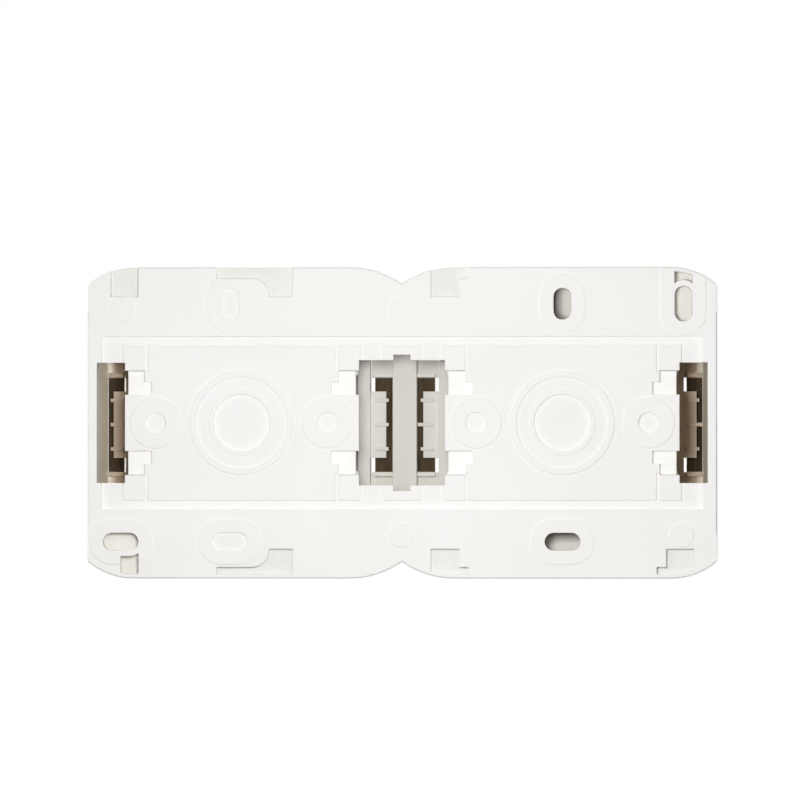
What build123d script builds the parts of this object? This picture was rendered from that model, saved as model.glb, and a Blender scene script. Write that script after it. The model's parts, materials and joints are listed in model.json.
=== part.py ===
from build123d import *
import os
from math import asin, cos, degrees, radians, sin, sqrt

# On-wall switch and socket combination, modelled lying on its back:
# x to the right seen from the front, y up, z from the wall towards the room.
# The socket is the left half seen from the front, the switch the right half.

# Outline of the base and the frame
HALF_LENGTH = 79.6
HALF_HEIGHT = 39.3
CORNER_RUN = 11.8
WAIST_RUN = 13.2
CORNER_R = 18.0
NOTCH_R = 23.0
SIDE_ROUND = 1.8
SIDE_RELIEF = 0.4
SIDE_RELIEF_HALF = 28.0

# Levels of the base plate, measured from the wall
PLATE_T = 3.0
BAND_Z = 0.3
RIM_Z = 0.6
MIDDLE_Z = 1.0
GROOVE_Z = 1.6
PLATE_EDGE = 0.3

# Recess and raised middle zones on the back
RECESS_BORDER = 3.7
RECESS_HALF_HEIGHT = 21.8
MIDDLE_REACH = 0.5
MIDDLE_HALF_HEIGHT = 19.6
CORNER_BLOCK_W = 5.0
CORNER_BLOCK_Y = 13.2
BLOCK_GROOVE = 0.8
PAD_HALF = 4.6

# Knock-out rings and screw bosses of each half
RING_OUTER_R = 13.1
RING_STEP_R = 11.6
RING_INNER_R = 8.3
RING_DISC_R = 7.2
RING_DISC_Z = 1.7
BOSS_INSET = 7.7
BOSS_R = 6.45
DIMPLE_R = 2.6
DIMPLE_Z = 1.4
PIN_INSET_X = 9.1
PIN_INSET_Y = 10.9
PIN_R = 3.1

# Wall screw slots
SLOT_W = 4.5
SLOT_LENGTH = 9.0
BOX_SLOT_LENGTH = 8.0
SLOT_Y = 30.0
SLOT_BOSS_WALL = 3.5
CORNER_SLOT_INSET = 8.6
BLIND_SLOT_OFFSET = 2.9
BLIND_DEPTH = 0.6
MEMBRANE_T = 0.8
SLOT_RIM = 1.4

# Cable windows
SIDE_WINDOW_INSET = 2.15
SIDE_WINDOW_W = 7.1
SIDE_WINDOW_HALF = 15.2
CENTRE_WINDOW_STEP = 0.15
CENTRE_WINDOW_HALF_HEIGHT = 15.8
CENTRE_NOTCH_HALF = 2.15
CENTRE_NOTCH_DEPTH = 1.4

# Hook windows and snap hooks that hold the mechanisms
HOOK_WINDOW_W = 6.8
HOOK_WINDOW_Y = 7.1
HOOK_STEP_Y = 10.3
HOOK_T = 1.6
HOOK_REACH = 1.2
HOOK_NOSE = 1.6
HOOK_GAP = 0.1

# Latches between base and frame
LATCH_DEPTH = 7.5
LATCH_STRIP_DEPTH = 2.9
LATCH_EDGE_STRIP = 1.1
WAIST_LATCH_X = 7.3
WAIST_LATCH_W = 7.2
WAIST_STRIP_W = 9.5
MID_LATCH_X = 12.9
MID_LATCH_W = 5.9
MID_STRIP_W = 19.2
MID_SHOULDER_R = 4.4
END_LATCH_X = 6.0
END_LATCH_W = 7.0
END_STRIP_W = 9.4
LUG_LAP = 0.5
LUG_GAP = 0.15
LUG_T = 6.0

# Double frame
FRAME_FRONT = 41.5
FRAME_WALL = 1.9
FRAME_DRAFT = 0.4
FRAME_BEVEL = 2.4
FRAME_BEVEL_Z = 2.6
CENTRE_RIB_HALF = 3.1
CENTRE_RIB_Z = 33.0
LEDGE_W = 1.0
LEDGE_T = 1.2
LEDGE_START = 17.0
POCKET_RIB_T = 1.1
POCKET_RIB_Z = 36.0
LATCH_PLATE_T = 0.5
LATCH_PLATE_GAP = 0.1
SHELF_Z = 6.0
SCREW_SHELF_Z = 18.0
SHELF_T = 1.5
SHELF_MARGIN = 1.8

# Inserts that fill the frame
END_BORDER = 7.45
EDGE_BORDER = 7.65
INSERT_CORNER_R = 3.0
INSERT_GAP = 0.2
INSERT_PROUD = 0.5
INSERT_EDGE_R = 0.7
TONGUE_NOTCH_HALF = 12.3
TONGUE_SLIT = 1.0
TONGUE_HALF = 8.6
TONGUE_ROOT = 3.25
TONGUE_REACH_OUT = 3.4
TONGUE_REACH_IN = 4.05
TONGUE_Z = 34.5
TONGUE_GAP = 0.2
LATCH_PAD_HALF = 16.4
LATCH_PAD_Z = 31.5
RIB_T = 0.9
RIB_PITCH = 6.3
RIB_Z = 33.0
RIB_STEP = 0.65
RIB_LENGTH = 3.35
LONG_RIB_CLEARANCE = 0.25

# Mechanism bases
FLANGE_INSET = 2.85
FLANGE_HALF_HEIGHT = 13.1
FLANGE_T = 4.0
CORE_ROUND = 1.5

# Screw terminals, the same on both mechanisms
TERMINAL_INSET = 7.8
TERMINAL_HALF_LENGTH = 4.0
TERMINAL_HALF_WIDTH = 3.5
TERMINAL_SEAT = 3.0
STRIP_T = 0.8
CLAMP_T = 1.2
CLAMP_HALF = 3.4
SCREW_R = 1.5
SCREW_HEAD_R = 2.8
SCREW_HEAD_T = 2.0
SCREW_LENGTH = 4.2
SCREW_FIT = 0.06
DRIVE_SLOT_W = 0.8
DRIVE_SLOT_DEPTH = 0.9

# Socket well and its contacts
WELL_R = 19.7
WELL_DEPTH = 17.5
WELL_WALL = 1.6
WELL_FLOOR_T = 2.0
GUIDE_HALF = 2.6
GUIDE_DEPTH = 2.2
PIN_SPACING = 19.0
PIN_HOLE_R = 2.75
SOCKET_CORE_SHARE = 0.66
SOCKET_CORE_HALF_HEIGHT = 17.0
JAW_HALF_WIDTH = 3.0
JAW_HALF_GAP = 3.4
JAW_THROAT = 2.75
JAW_LIP = 3.7
JAW_SHOULDER = 5.0
JAW_FLOOR = 2.0
CAVITY_GAP = 0.4
SHUTTER_SPACE = 3.0
SHUTTER_GAP = 0.2
SHUTTER_LOW = 3.4
SHUTTER_HIGH = 4.6
SHUTTER_RAMP = 1.6
SHUTTER_SLOT_HALF = 2.6
GUIDE_RIB_T = 1.2
SPRING_STRIP_T = 0.5
EARTH_HALF_WIDTH = 3.0
EARTH_T = 1.0
EARTH_ARM_Y = 21.6
EARTH_BULGE_Y = 17.7
EARTH_DROP = 3.9
EARTH_KNEE = 5.0
EARTH_SCREW_Y = -14.0
NICHE_GAP = 0.6
NICHE_WALL = 1.5
CENTRE_SCREW_R = 1.75
CENTRE_HEAD_R = 3.4
CENTRE_HEAD_T = 1.7
CENTRE_SCREW_LENGTH = 12.0

# Switch key and mechanism
KEY_BORDER = 5.45
KEY_SIDE_GAP = 0.4
KEY_END_GAP = 0.8
KEY_CORNER_R = 2.5
KEY_SKIN = 2.0
KEY_SKIRT = 4.6
KEY_WALL = 1.6
KEY_PROUD = 1.4
KEY_HOLLOW = 0.8
KEY_EDGE_R = 0.9
KEY_WELL_WALL = 1.5
KEY_WELL_DEPTH = 6.0
LEG_T = 1.8
LEG_HALF = 5.0
ROCKER_TILT = 4.0
PIVOT_Z = 35.5
PIVOT_R = 1.6
PIVOT_FIT = 0.06
CRADLE_INSET = 4.8
CRADLE_HALF_HEIGHT = 17.0
CRADLE_T = 2.0
CRADLE_BLOCK_HALF = 6.0
CHEEK_GAP = 0.9
CHEEK_T = 2.5
CHEEK_HALF = 5.0
CHEEK_TOP = 2.4
CLIP_HALF = 6.0
CLIP_T = 1.4
CLIP_NOSE = 0.8
STEM_R = 4.2
STEM_LENGTH = 9.5
PLUNGER_R = 2.0
PLUNGER_FIT = 0.08
PLUNGER_LENGTH = 11.5
PLUNGER_GAP = 0.12
COIL_R = 1.45
COIL_WIRE_R = 0.28
COIL_TURNS = 5
SWITCH_CORE_HALF_HEIGHT = 12.6
SWITCH_CORE_TOP = 24.0
CORE_WALL = 1.6
CAP_T = 1.4
CAP_RIM = 2.0
LEVER_Z = 17.0
LEVER_TILT = 5.5
LEVER_HALF_LENGTH = 9.5
LEVER_HALF_WIDTH = 3.0
LEVER_T = 0.8
LEVER_PIN_R = 1.0
LEVER_PIN_FIT = 0.06
LEVER_EAR_GAP = 0.4
LOAD_ARM_W = 4.0
CONTACT_Y = 8.0
CONTACT_R = 1.5
CONTACT_T = 0.6
CONTACT_GAP = 0.09
STOP_GAP = 0.2

# Places worked out from the values above
FLAT_IN = WAIST_RUN
FLAT_OUT = HALF_LENGTH - CORNER_RUN
MODULE_X = (FLAT_IN + FLAT_OUT) / 2
SWITCH_X = MODULE_X
SOCKET_X = -MODULE_X
INSERT_HALF_X = HALF_LENGTH - MODULE_X - END_BORDER
INSERT_HALF_Y = HALF_HEIGHT - EDGE_BORDER
SIDE_WINDOW_X = INSERT_HALF_X - SIDE_WINDOW_INSET
CENTRE_WINDOW_HALF = MODULE_X - SIDE_WINDOW_X - CENTRE_WINDOW_STEP
CORNER_BLOCK_X = SIDE_WINDOW_X - CORNER_BLOCK_W
BOSS_X = SIDE_WINDOW_X - BOSS_INSET
PIN_X = HALF_LENGTH - PIN_INSET_X
PIN_Y = HALF_HEIGHT - PIN_INSET_Y
CORNER_SLOT_X = HALF_LENGTH - CORNER_SLOT_INSET
BLIND_SLOT_X = MODULE_X + BLIND_SLOT_OFFSET
LATCH_Y = HALF_HEIGHT - LATCH_DEPTH
LUG_TOP = PLATE_T + LUG_T
TONGUE_ROOT_X = INSERT_HALF_X - TONGUE_ROOT
OUTER_TIP = INSERT_HALF_X + TONGUE_REACH_OUT
INNER_TIP = INSERT_HALF_X + TONGUE_REACH_IN
OUTER_WALL_X = HALF_LENGTH - MODULE_X - FRAME_WALL - FRAME_DRAFT
INNER_WALL_X = MODULE_X - CENTRE_RIB_HALF
FLANGE_HALF_LENGTH = INSERT_HALF_X - FLANGE_INSET
TERMINAL_X = FLANGE_HALF_LENGTH - TERMINAL_INSET
SEAT_X = TERMINAL_X - TERMINAL_HALF_LENGTH
CLAMP_X = TERMINAL_X - CLAMP_HALF
CHAMBER_X = PIN_SPACING / 2 + JAW_HALF_WIDTH + CAVITY_GAP
SOCKET_CORE_HALF_LENGTH = CHAMBER_X + SOCKET_CORE_SHARE * (SEAT_X - CHAMBER_X)
OPENING_X = INSERT_HALF_X - KEY_BORDER
OPENING_Y = INSERT_HALF_Y - KEY_BORDER
KEY_WIDTH = 2 * (OPENING_X - KEY_SIDE_GAP)
KEY_HEIGHT = 2 * (OPENING_Y - KEY_END_GAP)
CRADLE_HALF_LENGTH = CLAMP_X - CRADLE_INSET
FRAME_SKIN_Z = FRAME_FRONT - FRAME_WALL
INSERT_FRONT = FRAME_FRONT + INSERT_PROUD
FLANGE_Z = PLATE_T + FLANGE_T
SEAT_Z = FLANGE_Z + TERMINAL_SEAT
WELL_FLOOR_Z = INSERT_FRONT - WELL_DEPTH
SHUTTER_ROOF_Z = WELL_FLOOR_Z - WELL_FLOOR_T
SOCKET_CORE_TOP = SHUTTER_ROOF_Z - SHUTTER_SPACE
JAW_Z = PLATE_T + JAW_FLOOR
EARTH_Z = SOCKET_CORE_TOP - EARTH_DROP
KEY_FRONT = INSERT_FRONT + KEY_PROUD
KEY_UNDER = KEY_FRONT - KEY_HOLLOW - KEY_SKIN
CRADLE_Z = KEY_UNDER - CRADLE_T
CHEEK_X = CRADLE_HALF_LENGTH + CHEEK_GAP
SWITCH_CORE_HALF_LENGTH = CHEEK_X + CHEEK_T
LEVER_TOP = LEVER_Z + LEVER_PIN_R - 0.2 + LEVER_T
CAVITY_FLOOR = FLANGE_Z + 1.0


def rect(x0, x1, y0, y1):
    """Rectangle between two corners."""
    return Pos((x0 + x1) / 2, (y0 + y1) / 2) * Rectangle(abs(x1 - x0), abs(y1 - y0))


def prism(sketch, z0, z1):
    """Upright prism of a sketch between two levels."""
    return extrude(Pos(0, 0, z0) * sketch, amount=z1 - z0)


def block(x0, x1, y0, y1, z0, z1):
    return prism(rect(x0, x1, y0, y1), z0, z1)


def disc(x, y, r, z0, z1):
    return prism(Pos(x, y) * Circle(r), z0, z1)


def along_x(profile, half_width):
    """Profile drawn in y and z, drawn out to both sides along x."""
    return extrude(Plane.YZ * profile, amount=half_width, both=True)


def along_y(profile, half_width):
    """Profile drawn in x and z, drawn out to both sides along y."""
    return extrude(Plane.XZ * profile, amount=half_width, both=True)


def four_ways(shape):
    """A shape and its mirror images to the other three quarters."""
    pair = shape + mirror(shape, Plane.YZ)
    return pair + mirror(pair, Plane.XZ)


def outline(inset):
    """The double outline with its V-shaped waist, moved inwards."""
    top = HALF_HEIGHT - inset
    side = HALF_LENGTH - inset
    notch_r = NOTCH_R - inset
    corner_r = CORNER_R - inset
    notch_turn = asin(FLAT_IN / notch_r)
    corner_turn = asin((side - FLAT_OUT) / corner_r)
    corner = (FLAT_OUT, HALF_HEIGHT - CORNER_R)
    corner_y = HALF_HEIGHT - CORNER_R + corner_r * cos(corner_turn)
    quarter = Curve() + [
        CenterArc((FLAT_IN, HALF_HEIGHT - NOTCH_R), notch_r, 90, degrees(notch_turn)),
        Line((FLAT_IN, top), (FLAT_OUT, top)),
        CenterArc(corner, corner_r, 90 - degrees(corner_turn), degrees(corner_turn)),
        Line((side, corner_y), (side, 0)),
    ]
    half = quarter + mirror(quarter, Plane.XZ)
    face = make_face(half + mirror(half, Plane.YZ))
    corners = [v for v in face.vertices() if abs(abs(v.Y) - corner_y) < 1e-4 and abs(v.X) > FLAT_OUT]
    return fillet(corners, SIDE_ROUND)


def slot(x, y, length, width, upright):
    """Slot with round ends, lying along x or standing along y."""
    return Pos(x, y) * SlotOverall(length, width, rotation=90 if upright else 0)


def latch_window(start, block_w, strip_w, shoulder, side):
    """Plan of a latch window: a block at the start, a thin strip along the edge, perhaps a round shoulder."""
    edge = HALF_HEIGHT + 1
    strip_y = HALF_HEIGHT - LATCH_STRIP_DEPTH
    block_end = start + block_w
    window = rect(start, block_end, side * LATCH_Y, side * edge)
    window += rect(start, start + strip_w, side * strip_y, side * edge)
    if shoulder:
        corner = rect(block_end, block_end + shoulder, side * (strip_y - shoulder), side * strip_y)
        window += corner - Pos(block_end + shoulder, side * (strip_y - shoulder)) * Circle(shoulder)
    return window


# Start, block width, strip width, shoulder and side of the six latch windows
LATCHES = [
    (HALF_LENGTH - END_LATCH_X, -END_LATCH_W, -END_LATCH_W, 0, 1),
    (MODULE_X - MID_LATCH_X, MID_LATCH_W, MID_STRIP_W, MID_SHOULDER_R, 1),
    (-WAIST_LATCH_X, -WAIST_LATCH_W, -WAIST_STRIP_W, 0, 1),
    (MODULE_X - MID_LATCH_X, MID_LATCH_W, MID_STRIP_W, MID_SHOULDER_R, -1),
    (-WAIST_LATCH_X, -WAIST_LATCH_W, -WAIST_STRIP_W, 0, -1),
    (-HALF_LENGTH + END_LATCH_X, END_LATCH_W, END_STRIP_W, 0, -1),
]


def latch_windows():
    """The six latch windows; the lower ones leave a strip of material at the edge."""
    windows = Sketch()
    for start, block_w, strip_w, shoulder, side in LATCHES:
        window = latch_window(start, block_w, strip_w, shoulder, side)
        windows += window if side > 0 else window & outline(LATCH_EDGE_STRIP)
    return windows


def corner_fields(extra):
    """Fields from the middle of the two corner slots to the edge, grown by a lap."""
    half = SLOT_W / 2 + extra
    fields = rect(-CORNER_SLOT_X - half, -CORNER_SLOT_X + half, SLOT_Y, HALF_HEIGHT)
    fields += rect(CORNER_SLOT_X - SLOT_W - extra, CORNER_SLOT_X + extra, -SLOT_Y, -HALF_HEIGHT)
    return fields & outline(LATCH_EDGE_STRIP - extra)


def corner_windows():
    """Windows between the rims of the two corner slots and the edge of the plate."""
    length = SLOT_LENGTH + 2 * SLOT_RIM
    width = SLOT_W + 2 * SLOT_RIM
    rims = slot(-CORNER_SLOT_X, SLOT_Y, length, width, True)
    rims += slot(CORNER_SLOT_X, -SLOT_Y, length, width, False)
    return corner_fields(0) - rims


def slot_boss(x, y, length, upright):
    """Raised oval field round a wall slot."""
    return slot(x, y, length + 2 * SLOT_BOSS_WALL, SLOT_W + 2 * SLOT_BOSS_WALL, upright)


def mechanism_hook():
    """Snap arm at a corner of a mechanism, with its nose over the flange."""
    y0 = FLANGE_HALF_HEIGHT + 0.3
    top = FLANGE_Z + HOOK_GAP
    nose = Polyline(
        (y0, PLATE_T - 0.5),
        (y0, top),
        (y0 - HOOK_REACH, top),
        (y0 - HOOK_REACH, top + 0.4),
        (y0, top + HOOK_NOSE),
        (y0 + HOOK_T, top + HOOK_NOSE),
        (y0 + HOOK_T, PLATE_T - 0.5),
        close=True,
    )
    middle = (CORNER_BLOCK_X + SIDE_WINDOW_X) / 2
    half_width = (SIDE_WINDOW_X - CORNER_BLOCK_X) / 2 - 0.3
    return Pos(middle, 0, 0) * along_x(make_face(nose), half_width)


def latch_hook(start, block_w, side):
    """Snap arm behind the inner edge of a latch window, with its nose over the frame's lug."""
    face = LATCH_Y - LUG_LAP - LUG_GAP
    root = face - HOOK_T
    top = LUG_TOP + HOOK_GAP
    nose = Polyline(
        (root, PLATE_T - 0.5),
        (root, top + HOOK_NOSE),
        (face, top + HOOK_NOSE),
        (face + HOOK_REACH, top + 0.4),
        (face + HOOK_REACH, top),
        (face, top),
        (face, PLATE_T - 0.5),
        close=True,
    )
    arm = Pos(start + block_w / 2, 0, 0) * along_x(make_face(nose), abs(block_w) / 2 - 0.6)
    return arm if side > 0 else mirror(arm, Plane.XZ)


def base_plate():
    plate = prism(outline(0), BAND_Z, PLATE_T)
    plate = chamfer(plate.edges().group_by(Axis.Z)[0], PLATE_EDGE)
    for side in (-1, 1):
        start = side * (HALF_LENGTH - SIDE_RELIEF)
        relief = rect(start, side * (HALF_LENGTH + 1), -SIDE_RELIEF_HALF, SIDE_RELIEF_HALF)
        plate -= prism(relief, 0, PLATE_T)

    # Recessed field with its raised middle zones
    recess = Rectangle(2 * (HALF_LENGTH - RECESS_BORDER), 2 * RECESS_HALF_HEIGHT)
    plate -= prism(recess, 0, GROOVE_Z)
    zone = Rectangle(2 * (SIDE_WINDOW_X + MIDDLE_REACH), 2 * MIDDLE_HALF_HEIGHT)
    groove_end = CORNER_BLOCK_Y - BLOCK_GROOVE / 2
    groove = rect(CORNER_BLOCK_X - BLOCK_GROOVE, CORNER_BLOCK_X, groove_end, MIDDLE_HALF_HEIGHT)
    zone -= four_ways(groove)
    pad = Rectangle(2 * PAD_HALF, 2 * MIDDLE_HALF_HEIGHT)
    plate += prism(pad, MIDDLE_Z, GROOVE_Z)
    bosses = Sketch()
    for x in (SOCKET_X, SWITCH_X):
        plate += Pos(x, 0, 0) * prism(zone, MIDDLE_Z, GROOVE_Z)
        plate += disc(x, 0, RING_OUTER_R, RIM_Z, MIDDLE_Z)
        plate -= disc(x, 0, RING_STEP_R, 0, MIDDLE_Z + 0.1)
        plate += disc(x, 0, RING_INNER_R, RIM_Z + 0.2, MIDDLE_Z + 0.1)
        plate -= disc(x, 0, RING_DISC_R, 0, RING_DISC_Z)
        for step in (-BOSS_X, BOSS_X):
            plate += disc(x + step, 0, BOSS_R, RIM_Z, MIDDLE_Z)
            plate -= disc(x + step, 0, DIMPLE_R, 0, DIMPLE_Z)

    # Fields that bear on the wall: round pads and the ovals round the slots
    for x, y in ((PIN_X, PIN_Y), (0, PIN_Y), (0, -PIN_Y), (-PIN_X, -PIN_Y)):
        bosses += Pos(x, y) * Circle(PIN_R)
    for x in (BLIND_SLOT_X, SOCKET_X):
        bosses += slot_boss(x, SLOT_Y, BOX_SLOT_LENGTH, True)
        bosses += slot_boss(x, -SLOT_Y, SLOT_LENGTH, False)
    bosses += slot_boss(CORNER_SLOT_X, -SLOT_Y, SLOT_LENGTH, False)
    half_boss = SLOT_W / 2 + SLOT_BOSS_WALL
    bosses += slot_boss(-CORNER_SLOT_X, SLOT_Y, SLOT_LENGTH, True)
    bosses += rect(-CORNER_SLOT_X - half_boss, -CORNER_SLOT_X + half_boss, SLOT_Y, HALF_HEIGHT)
    bosses = bosses & outline(PLATE_EDGE)
    plate += prism(bosses, 0, BAND_Z)

    # Latch windows, cable windows and hook windows
    plate -= prism(latch_windows(), 0, PLATE_T)
    cuts = rect(-CENTRE_WINDOW_HALF, CENTRE_WINDOW_HALF, -CENTRE_WINDOW_HALF_HEIGHT, CENTRE_WINDOW_HALF_HEIGHT)
    notch = CENTRE_WINDOW_HALF_HEIGHT + CENTRE_NOTCH_DEPTH
    cuts += rect(-CENTRE_NOTCH_HALF, CENTRE_NOTCH_HALF, -notch, notch)
    window_out = MODULE_X + SIDE_WINDOW_X
    for side in (-1, 1):
        window_end = window_out + SIDE_WINDOW_W
        cuts += rect(side * window_out, side * window_end, -SIDE_WINDOW_HALF, SIDE_WINDOW_HALF)
    hook_window = rect(CORNER_BLOCK_X, SIDE_WINDOW_X + 0.2, HOOK_STEP_Y, CORNER_BLOCK_Y)
    hook_window += rect(SIDE_WINDOW_X - HOOK_WINDOW_W, SIDE_WINDOW_X + 0.2, HOOK_WINDOW_Y, HOOK_STEP_Y)
    hook_windows = four_ways(hook_window)
    for x in (SOCKET_X, SWITCH_X):
        cuts += Pos(x, 0) * hook_windows

    # Open wall slots, with the windows beside the two corner slots
    cuts += slot(SOCKET_X, SLOT_Y, BOX_SLOT_LENGTH, SLOT_W, True)
    cuts += slot(SOCKET_X, -SLOT_Y, SLOT_LENGTH, SLOT_W, False)
    cuts += slot(CORNER_SLOT_X, -SLOT_Y, SLOT_LENGTH, SLOT_W, False)
    cuts += slot(-CORNER_SLOT_X, SLOT_Y, SLOT_LENGTH, SLOT_W, True)
    cuts += corner_windows()
    plate -= prism(cuts, 0, PLATE_T)

    # Blind slots closed by a thin web
    for y, length, upright in ((SLOT_Y, BOX_SLOT_LENGTH, True), (-SLOT_Y, SLOT_LENGTH, False)):
        web = slot(BLIND_SLOT_X, y, length, SLOT_W, upright)
        plate -= prism(web, 0, BLIND_DEPTH)
        plate -= prism(web, BLIND_DEPTH + MEMBRANE_T, PLATE_T)

    hooks = four_ways(mechanism_hook())
    for x in (SOCKET_X, SWITCH_X):
        plate += Pos(x, 0, 0) * hooks
    for start, block_w, strip_w, shoulder, side in LATCHES:
        plate += latch_hook(start, block_w, side)
    return plate


def shell_body(inset, z0, z1, rounded):
    """Drafted body on the double outline, with or without the bevelled front edge."""
    def section(z, extra):
        draft = FRAME_DRAFT * (z - PLATE_T) / (FRAME_FRONT - PLATE_T)
        return Pos(0, 0, z) * outline(inset + draft + extra)

    if not rounded:
        return loft([section(z0, 0), section(z1, 0)], ruled=True)
    shoulder = z1 - FRAME_BEVEL_Z
    body = loft([section(z0, 0), section(shoulder, 0)], ruled=True)
    steps = [radians(a) for a in (0, 30, 60, 90)]
    for a, b in zip(steps, steps[1:]):
        low = section(shoulder + FRAME_BEVEL_Z * sin(a), FRAME_BEVEL * (1 - cos(a)))
        high = section(shoulder + FRAME_BEVEL_Z * sin(b), FRAME_BEVEL * (1 - cos(b)))
        body += loft([low, high], ruled=True)
    return body


def front_frame():
    frame = shell_body(0, PLATE_T, FRAME_FRONT, True)
    frame -= shell_body(FRAME_WALL, PLATE_T - 0.01, FRAME_SKIN_Z, False)
    aperture_x = INSERT_HALF_X + INSERT_GAP
    aperture_y = INSERT_HALF_Y + INSERT_GAP
    aperture = RectangleRounded(2 * aperture_x, 2 * aperture_y, INSERT_CORNER_R + INSERT_GAP)
    aperture += Rectangle(2 * (INSERT_HALF_X + TONGUE_SLIT), 2 * TONGUE_NOTCH_HALF)
    for x in (SOCKET_X, SWITCH_X):
        frame -= Pos(x, 0, 0) * prism(aperture, FRAME_SKIN_Z - 1, FRAME_FRONT + 1)
    inner_top = HALF_HEIGHT - NOTCH_R + sqrt((NOTCH_R - FRAME_WALL - FRAME_DRAFT) ** 2 - FLAT_IN**2)
    frame += block(-CENTRE_RIB_HALF, CENTRE_RIB_HALF, -inner_top, inner_top, CENTRE_RIB_Z, FRAME_SKIN_Z)

    # Ledge behind each insert's edge, left out beside the latch tongues
    ledge = RectangleRounded(2 * (aperture_x + LEDGE_W), 2 * (aperture_y + LEDGE_W), INSERT_CORNER_R + LEDGE_W)
    ledge -= RectangleRounded(2 * (aperture_x - LEDGE_W), 2 * (aperture_y - LEDGE_W), INSERT_CORNER_R)
    ledge -= Rectangle(4 * aperture_x, 2 * LEDGE_START)

    # Thin ribs that close off the latch pockets above and below
    pocket_x = INSERT_HALF_X + TONGUE_SLIT
    rib_y = TONGUE_NOTCH_HALF + POCKET_RIB_T
    rib = rect(pocket_x, HALF_LENGTH - MODULE_X - FRAME_WALL / 2, TONGUE_NOTCH_HALF, rib_y)
    rib += rect(-MODULE_X, -pocket_x, TONGUE_NOTCH_HALF, rib_y)
    ribs = rib + mirror(rib, Plane.XZ)
    for x, shape in ((SWITCH_X, ribs), (SOCKET_X, mirror(ribs, Plane.YZ))):
        frame += Pos(x, 0, 0) * prism(ledge, FRAME_SKIN_Z - LEDGE_T, FRAME_SKIN_Z)
        frame += Pos(x, 0, 0) * prism(shape, POCKET_RIB_Z, FRAME_SKIN_Z)

    # Shelves across the two corners behind the corner slots, with the wall cut back above them
    shelf_x = CORNER_SLOT_X - SLOT_LENGTH / 2 - SHELF_MARGIN
    shelf_y = SLOT_Y - SLOT_LENGTH / 2 - SHELF_MARGIN
    shelf = rect(shelf_x, HALF_LENGTH, -HALF_HEIGHT, -shelf_y)
    shelf += rect(-HALF_LENGTH, -shelf_x, shelf_y, HALF_HEIGHT)
    frame += prism(shelf & outline(FRAME_WALL / 2), SHELF_Z, SHELF_Z + SHELF_T)
    frame -= prism(corner_fields(LUG_LAP), PLATE_T - 1, SHELF_Z)

    # Shelves from the long walls over the heads of the wall box screws
    half_w = SLOT_W / 2 + SHELF_MARGIN
    half_l = SLOT_LENGTH / 2 + SHELF_MARGIN
    upper_y = SLOT_Y - BOX_SLOT_LENGTH / 2 - SHELF_MARGIN
    screw_shelf = rect(SOCKET_X - half_w, SOCKET_X + half_w, upper_y, HALF_HEIGHT)
    screw_shelf += rect(SOCKET_X - half_l, SOCKET_X + half_l, -HALF_HEIGHT, half_w - SLOT_Y)
    frame += prism(screw_shelf & outline(FRAME_WALL / 2), SCREW_SHELF_Z, SCREW_SHELF_Z + SHELF_T)

    # Lugs that close the base's latch windows from the front, under the hooks
    lugs = offset(latch_windows(), LUG_LAP, kind=Kind.INTERSECTION) & outline(FRAME_WALL / 2)
    return frame + prism(lugs, PLATE_T, LUG_TOP)


def latch_plates():
    """Dark spring plates on the frame's back that the tongues snap behind."""
    start = INSERT_HALF_X + TONGUE_SLIT + LATCH_PLATE_GAP
    outer = OUTER_WALL_X - LATCH_PLATE_GAP
    inner = INNER_WALL_X - LATCH_PLATE_GAP
    half = TONGUE_NOTCH_HALF - LATCH_PLATE_GAP
    pair = rect(start, outer, -half, half) + rect(-inner, -start, -half, half)
    plates = Pos(SWITCH_X, 0) * pair + Pos(SOCKET_X, 0) * mirror(pair, Plane.YZ)
    return prism(plates, FRAME_SKIN_Z - LATCH_PLATE_T, FRAME_SKIN_Z)


def latch_tongue(tip, middle_rib):
    """Tongue behind the frame's edge with three stiffening ribs, on the +x side."""
    front = FRAME_SKIN_Z - LATCH_PLATE_T - TONGUE_GAP
    tongue = block(TONGUE_ROOT_X, tip, -TONGUE_HALF, TONGUE_HALF, TONGUE_Z, front)
    tongue += block(
        TONGUE_ROOT_X, INSERT_HALF_X, -LATCH_PAD_HALF, LATCH_PAD_HALF, LATCH_PAD_Z, FRAME_SKIN_Z
    )
    rib_end = tip + RIB_STEP
    for place in (-1, 0, 1):
        reach = middle_rib if place == 0 else rib_end
        y = place * RIB_PITCH
        tongue += block(rib_end - RIB_LENGTH, reach, y - RIB_T / 2, y + RIB_T / 2, RIB_Z, TONGUE_Z + 1)
    return tongue


def insert_plate():
    """Square face of an insert with a softened front edge."""
    face = RectangleRounded(2 * INSERT_HALF_X, 2 * INSERT_HALF_Y, INSERT_CORNER_R)
    plate = prism(face, FRAME_SKIN_Z, INSERT_FRONT)
    return fillet(plate.edges().group_by(Axis.Z)[-1], INSERT_EDGE_R)


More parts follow.
